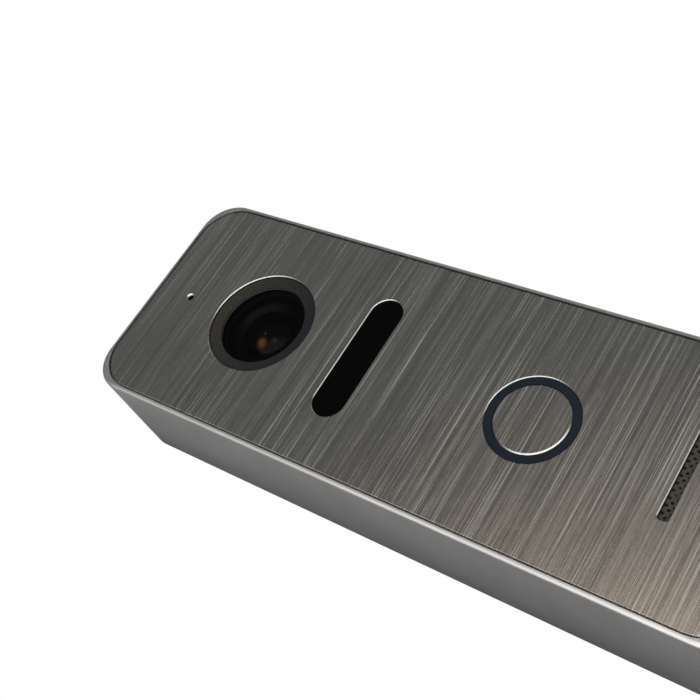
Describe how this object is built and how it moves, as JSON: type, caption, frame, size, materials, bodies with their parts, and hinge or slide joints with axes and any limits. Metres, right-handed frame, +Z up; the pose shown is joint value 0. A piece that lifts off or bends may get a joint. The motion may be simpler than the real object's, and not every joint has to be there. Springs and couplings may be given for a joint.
{
  "type": "video door station",
  "caption": "Slim upright call panel for a video intercom: brushed metal face in a satin housing, camera, dark light window, ringed call button, speaker slot, wall bracket.",
  "frame": {"origin": "middle of the wall face, half way between the wall bracket's two screw holes", "axes": "+Z up, front face towards -Y, +X to the right seen from the front; the wall is the plane y = 0"},
  "size_m": [0.046, 0.0225, 0.129],
  "materials": {
    "satin_alloy": "satin die-cast alloy",
    "brushed_plate": "long-grain brushed, grain across the panel",
    "gloss_black": "gloss black",
    "smoked_ring": "smoked translucent",
    "clear_window": "clear hard-coated",
    "lens_glass": "coated optical glass",
    "filter_glass": "dichroic",
    "black_plastic": "moulded, fine texture",
    "rubber": "matt",
    "adhesive": "adhesive film",
    "zinc_steel": "bright zinc plated",
    "screw_steel": "nickel plated",
    "circuit_board": "green solder mask",
    "chip_black": "moulded epoxy",
    "relay_case": "moulded",
    "capacitor_can": "bright can",
    "connector_white": "moulded nylon",
    "led_clear": "clear resin on white body",
    "sensor_die": "polished",
    "mesh_black": "black perforated steel",
    "cone_film": "thin polymer film",
    "copper": "enamelled copper wire",
    "magnet_plate": "nickel plated",
    "capsule_can": "bright can",
    "ribbon_film": "polyimide film",
    "wire_sleeve": "PVC"
  },
  "bodies": {
    "panel": {"housing": "satin_alloy", "front_plate": "brushed_plate", "light_window": "gloss_black", "camera_bezel": "gloss_black", "button_ring": "smoked_ring", "camera_window": "clear_window", "lens_front_element": "lens_glass", "lens_rear_element": "lens_glass", "infrared_filter": "filter_glass", "rear_cover": "black_plastic", "lens_barrel": "black_plastic", "lens_holder": "black_plastic", "camera_frame": "black_plastic", "button_clamp": "black_plastic", "window_retaining_ring": "black_plastic", "rear_cover_gasket": "rubber", "wall_seal": "rubber", "microphone_boot": "rubber", "cable_grommet": "rubber", "light_window_gasket": "rubber", "button_ring_gasket": "rubber", "camera_window_seal": "rubber", "speaker_foam": "rubber", "speaker_surround": "rubber", "plate_adhesive": "adhesive", "wall_bracket": "zinc_steel", "rear_cover_screws": "screw_steel", "small_screws": "screw_steel", "tiny_screws": "screw_steel", "main_board": "circuit_board", "camera_board": "circuit_board", "led_board": "circuit_board", "chips": "chip_black", "inductor": "chip_black", "switch_body": "chip_black", "led_board_header": "chip_black", "trimmer_body": "chip_black", "relay": "relay_case", "capacitors": "capacitor_can", "board_connectors": "connector_white", "pigtail_plug": "connector_white", "infrared_leds": "led_clear", "ring_leds": "led_clear", "image_sensor": "sensor_die", "light_sensor": "sensor_die", "speaker_mesh": "mesh_black", "speaker_basket": "mesh_black", "speaker_magnet": "magnet_plate", "microphone_capsule": "capsule_can", "camera_ribbon": "ribbon_film", "inner_wires": "wire_sleeve", "pigtail_wires": "wire_sleeve"},
    "call_button": {"button_cap": "brushed_plate", "button_stem": "black_plastic"},
    "switch_plunger": {"switch_plunger": "black_plastic"},
    "speaker_cone": {"speaker_cone": "cone_film", "voice_coil": "copper"},
    "volume_trimmer": {"volume_trimmer": "connector_white"},
    "lock_screw": {"lock_screw": "screw_steel"}
  },
  "joints": [
    {"name": "call_button_press", "type": "slide", "parent": "panel", "child": "call_button", "axis": [0, 1, 0], "range_m": [0, 0.0006], "stiffness_N_per_m": 3000},
    {"name": "switch_plunger_press", "type": "slide", "parent": "panel", "child": "switch_plunger", "axis": [0, 1, 0], "range_m": [0, 0.0006]},
    {"name": "speaker_cone_travel", "type": "slide", "parent": "panel", "child": "speaker_cone", "axis": [0, 1, 0], "range_m": [-0.0003, 0.0003], "stiffness_N_per_m": 1200},
    {"name": "volume_trimmer_turn", "type": "hinge", "parent": "panel", "child": "volume_trimmer", "pos_m": [0.009, -0.0062, -0.014], "axis": [0, 1, 0], "range_deg": [-135, 135]},
    {"name": "lock_screw_out", "type": "slide", "parent": "panel", "child": "lock_screw", "axis": [0, 0, -1], "range_m": [0, 0.008]}
  ],
  "couplings": [
    {"joint": "switch_plunger_press", "follows": "call_button_press", "ratio": 1}
  ]
}
